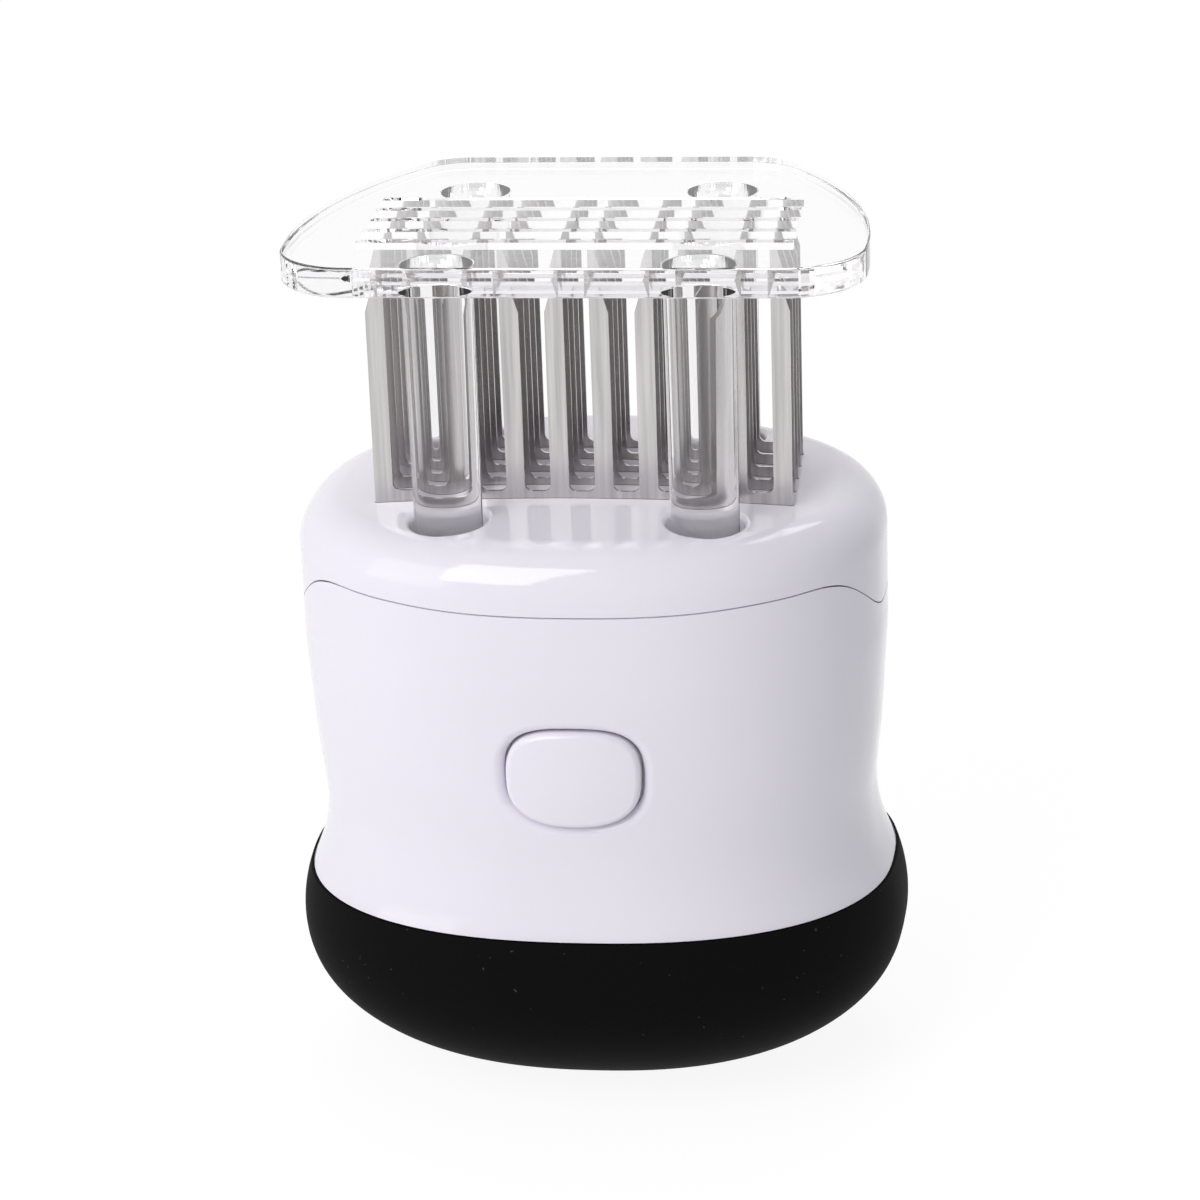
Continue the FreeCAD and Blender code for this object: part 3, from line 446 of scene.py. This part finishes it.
def add_piece(shape: bmesh.types.BMesh, name: str, material: bpy.types.Material,
              node: str) -> bpy.types.Object:
    """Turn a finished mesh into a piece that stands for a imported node.

    Args:
        shape: the mesh, which is freed.
        name: name of the new object.
        material: its finish.
        node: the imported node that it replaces.

    Returns:
        The new piece, which rides on nothing yet.
    """
    bmesh.ops.recalc_face_normals(shape, faces=shape.faces)
    mesh = bpy.data.meshes.new(name)
    shape.to_mesh(mesh)
    shape.free()
    mesh.materials.append(material)
    piece = add_object(name, mesh)
    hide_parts(node)
    return piece


@dataclass(frozen=True)
class PostCollars:
    """The four stop collars, a hair clear of the posts' polished ends."""

    node: str = "post_collars"
    outer_radius: float = 6.9 * MM
    bore_radius: float = 1.55 * MM
    end_gap: float = 0.03 * MM
    segments: int = 64

    def ring(self, shape: bmesh.types.BMesh, place: Vector, height: float) -> None:
        """Spin one collar about its own axis.

        Args:
            shape: the mesh it goes into.
            place: middle of its lower face.
            height: its thickness.
        """
        inner, outer = self.bore_radius, self.outer_radius
        corners = [(inner, 0.0), (outer, 0.0), (outer, height), (inner, height)]
        verts = [shape.verts.new(place + Vector((radius, 0.0, rise)))
                 for radius, rise in corners]
        edges = [shape.edges.new((verts[index - 1], verts[index]))
                 for index in range(len(verts))]
        bmesh.ops.spin(shape, geom=verts + edges, cent=place, axis=UP,
                       angle=FULL_TURN, steps=self.segments, use_merge=True)

    def build(self, material: bpy.types.Material) -> bpy.types.Object:
        """Make the four collars.

        Args:
            material: their finish.

        Returns:
            The new piece.
        """
        low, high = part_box(self.node)
        reach = self.outer_radius
        height = high.z - low.z - self.end_gap
        shape = bmesh.new()
        for x in (low.x + reach, high.x - reach):
            for y in (low.y + reach, high.y - reach):
                self.ring(shape, Vector((x, y, low.z)), height)
        piece = add_piece(shape, "stop_collars", material, self.node)
        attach(piece, Body.GUARD.value)
        return piece


@dataclass(frozen=True)
class GuardSprings:
    """Four round-wire springs, wound at rest length; they are not shortened here as the guard is
    pressed.
    """

    corners: tuple[str, ...] = ("front_left", "front_right", "rear_left", "rear_right")
    wire_radius: float = 0.5 * MM
    turns: float = 7.5
    steps_per_turn: int = 40
    wire_segments: int = 12
    travel: float = 34.0 * MM

    def coil(self, low: Vector, high: Vector) -> bmesh.types.BMesh:
        """Wind one spring inside its packed box.

        Args:
            low: lowest corner of the box.
            high: highest corner of the box.

        Returns:
            The closed coil.
        """
        middle = (low + high) / 2
        coil_radius = (high.x - low.x) / 2 - self.wire_radius
        foot = Vector((middle.x, middle.y, low.z + self.wire_radius))
        steps = round(self.turns * self.steps_per_turn)
        rise = (high.z - low.z - 2 * self.wire_radius) / steps
        start = Matrix.Translation(foot + Vector((coil_radius, 0.0, 0.0)))
        upright = Matrix.Rotation(math.pi / 2, 4, "X")
        shape = bmesh.new()
        bmesh.ops.create_circle(shape, segments=self.wire_segments,
                                radius=self.wire_radius, matrix=start @ upright)
        bmesh.ops.spin(shape, geom=whole(shape), cent=foot, axis=UP,
                       dvec=(0.0, 0.0, rise), angle=FULL_TURN * self.turns, steps=steps)
        ends = [edge for edge in shape.edges if edge.is_boundary]
        bmesh.ops.holes_fill(shape, edges=ends, sides=0)
        for face in shape.faces:
            face.smooth = len(face.verts) == 4
        return shape

    def build(self, material: bpy.types.Material) -> int:
        """Make the four springs.

        Args:
            material: their finish.

        Returns:
            How many springs were made.
        """
        for corner in self.corners:
            node = f"guard_spring_{corner}"
            low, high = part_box(node)
            coil = self.coil(low, high)
            piece = add_piece(coil, f"coil_{corner}", material, node)
            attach(piece, Body.CARTRIDGE.value)
            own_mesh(piece)
        return len(self.corners)


@dataclass(frozen=True)
class BendingLeaf:
    """The latch leaf at rest, with rows of edges where its upper part would bend in with the
    button.
    """

    node: str = "latch_leaf"
    bend_start: float = 44.7 * MM
    bend_end: float = 61.5 * MM
    bend_rows: int = 12
    weld: float = 0.001 * MM

    def build(self, material: bpy.types.Material) -> bpy.types.Object:
        """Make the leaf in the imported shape, with rows of edges where it bends.

        Args:
            material: its finish.

        Returns:
            The new piece.
        """
        shape = bmesh.new()
        shape.from_mesh(frame["nodes"][self.node].data)
        bmesh.ops.remove_doubles(shape, verts=list(shape.verts), dist=self.weld)
        for face in shape.faces:
            face.smooth = False
        span = self.bend_end - self.bend_start
        for row in range(self.bend_rows + 1):
            height = self.bend_start + span * row / self.bend_rows
            bmesh.ops.bisect_plane(shape, geom=whole(shape),
                                   plane_co=(0.0, 0.0, height), plane_no=UP)
        piece = add_piece(shape, "bending_leaf", material, self.node)
        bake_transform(piece)
        return piece


# ---------------------------------------------------------------- studio
@dataclass(frozen=True)
class Lamp:
    """A soft box: place and size (width, height) in metres, power in watts."""

    name: str
    place: Triple
    size: tuple[float, float]
    power: float

    def build(self, aim: Vector) -> None:
        """Set the lamp up.

        Args:
            aim: the point that it faces.
        """
        data = bpy.data.lights.new(self.name, "AREA")
        data.shape = "RECTANGLE"
        data.size, data.size_y = self.size
        data.energy = self.power
        lamp = add_object(self.name, data)
        lamp.location = self.place
        to_aim = aim - Vector(self.place)
        lamp.rotation_euler = to_aim.to_track_quat("-Z", "Y").to_euler()


LAMPS = (
    Lamp("key_left", (-0.9, -0.65, 0.55), (0.8, 0.9), 2.8),
    Lamp("softbox", (-0.39, -0.78, 0.77), (0.5, 0.8), 5.0),
    Lamp("top", (0.0, 0.1, 1.2), (0.9, 0.9), 0.5),
    Lamp("rear", (0.0, 0.85, 1.25), (0.9, 0.7), 5.0),
)


@dataclass
class Studio:
    """Floor, world, lamps and camera."""

    aim: Vector = field(default_factory=lambda: Vector((0.62, 0.0, 82.2)) * MM)
    distance: float = 662.6 * MM
    azimuth: float = math.radians(7.24)
    elevation: float = math.radians(21.0)
    roll: float = math.radians(-2.0)
    lens: float = 115.7
    sensor: float = 36.0
    view_depth: float = 20.0
    fill_colour: Triple = (0.96, 0.98, 1.0)
    fill_strength: float = 0.35
    floor_radius: float = 3.0
    floor_segments: int = 64
    floor_grey: float = 0.92
    floor_roughness: float = 0.9
    floor_glow: float = 1.07
    floor_glow_share: float = 0.85
    clear_bounces: int = 40
    glossy_bounces: int = 12
    diffuse_bounces: int = 4

    def camera(self) -> bpy.types.Object:
        """Place the camera on its orbit round the aim point.

        Returns:
            The camera object.
        """
        data = bpy.data.cameras.new("camera")
        data.lens = self.lens
        data.sensor_width = self.sensor
        data.clip_end = self.view_depth
        camera = add_object("camera", data)
        level = math.cos(self.elevation) * self.distance
        offset = Vector((
            math.sin(self.azimuth) * level,
            -math.cos(self.azimuth) * level,
            math.sin(self.elevation) * self.distance,
        ))
        turn = Euler((math.pi / 2 - self.elevation, 0.0, self.azimuth)).to_matrix().to_4x4()
        roll = Matrix.Rotation(self.roll, 4, "Z")
        camera.matrix_world = Matrix.Translation(self.aim + offset) @ turn @ roll
        bpy.context.scene.camera = camera
        return camera

    def world(self) -> None:
        """Set white where the world is seen, and a soft fill where it only lights."""
        world = bpy.data.worlds.new("studio")
        world.use_nodes = True
        bpy.context.scene.world = world
        nodes = Nodes(world.node_tree)
        fill = nodes.tree.nodes["Background"]
        fill.inputs["Color"].default_value = (*self.fill_colour, 1.0)
        fill.inputs["Strength"].default_value = self.fill_strength
        white = nodes.add("ShaderNodeBackground")
        white.inputs["Color"].default_value = (1.0, 1.0, 1.0, 1.0)
        white.inputs["Strength"].default_value = 1.0
        nodes.mix(nodes.in_view(), fill.outputs["Background"], white.outputs["Background"],
                  nodes.tree.nodes["World Output"].inputs["Surface"])

    def floor(self) -> None:
        """Lay the pale floor under the foot, which glows a little where it is seen."""
        mesh = bpy.data.meshes.new("floor")
        shape = bmesh.new()
        bmesh.ops.create_circle(shape, cap_ends=True, segments=self.floor_segments,
                                radius=self.floor_radius)
        shape.to_mesh(mesh)
        shape.free()
        floor = add_object("floor", mesh)
        finish = Finish("floor")
        finish.set(Roughness=self.floor_roughness, Base_Color=(*[self.floor_grey] * 3, 1.0))
        glow = finish.add("ShaderNodeEmission")
        glow.inputs["Strength"].default_value = self.floor_glow
        share = finish.add("ShaderNodeMath", operation="MULTIPLY")
        share.inputs[1].default_value = self.floor_glow_share
        finish.link(finish.in_view(), share.inputs[0])
        finish.mix(share.outputs["Value"], finish.shader.outputs["BSDF"],
                   glow.outputs["Emission"], finish.output.inputs["Surface"])
        mesh.materials.append(finish.material)

    def light_paths(self) -> None:
        """Let light turn often enough inside the clear guard."""
        cycles = bpy.context.scene.cycles
        cycles.max_bounces = self.clear_bounces
        cycles.transmission_bounces = self.clear_bounces
        cycles.glossy_bounces = self.glossy_bounces
        cycles.diffuse_bounces = self.diffuse_bounces

    def build(self) -> None:
        """Set up the whole studio."""
        bpy.context.scene.view_settings.view_transform = "Standard"
        self.light_paths()
        self.world()
        self.floor()
        for lamp in LAMPS:
            lamp.build(self.aim)
        self.camera()


def main() -> None:
    """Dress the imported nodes, build the pieces and light the scene."""
    logging.basicConfig(level=logging.INFO)
    wardrobe = Wardrobe()
    LOG.info("dressed %d nodes", wardrobe.dress())
    LOG.info("built %s", PostCollars().build(wardrobe.by_slot["grey_core"]).name)
    LOG.info("wound %d springs", GuardSprings().build(wardrobe.by_slot["spring_steel"]))
    LOG.info("built %s", BendingLeaf().build(wardrobe.by_slot["spring_steel"]).name)
    Studio().build()
    bpy.context.view_layer.update()


if __name__ == "__main__":
    main()
